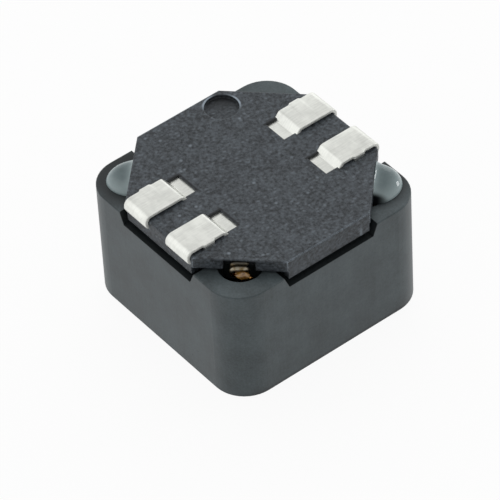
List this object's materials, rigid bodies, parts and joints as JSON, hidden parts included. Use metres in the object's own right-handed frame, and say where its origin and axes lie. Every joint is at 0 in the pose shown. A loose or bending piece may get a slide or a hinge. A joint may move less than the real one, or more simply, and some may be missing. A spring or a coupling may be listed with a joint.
{
  "type": "smd common mode choke",
  "caption": "Square shielded surface-mount common mode choke: ferrite ring round a bifilar-wound drum, dark base plate with cut corners and bent tinned terminals.",
  "frame": {"origin": "middle of the shield's flat face, which the part lies on", "axes": "+Z from that face to the solder pads, +Y across the two sides that carry terminals, +X along them"},
  "size_m": [0.0122, 0.0122, 0.008],
  "materials": {
    "ferrite": "satin grey, pressed and fired",
    "plate_plastic": "dark grey glass-filled moulding with fine speckle",
    "tin": "tin plate, soft sheen with rolling streaks",
    "enamelled_copper": "clear enamel over copper",
    "epoxy": "grey resin with a wet gloss"
  },
  "bodies": {
    "root": {"ring_core": "ferrite", "drum_core": "ferrite", "base_plate": "plate_plastic", "terminal_1": "tin", "terminal_2": "tin", "terminal_3": "tin", "terminal_4": "tin", "winding_a": "enamelled_copper", "winding_b": "enamelled_copper", "epoxy_left": "epoxy", "epoxy_right": "epoxy"}
  },
  "joints": []
}
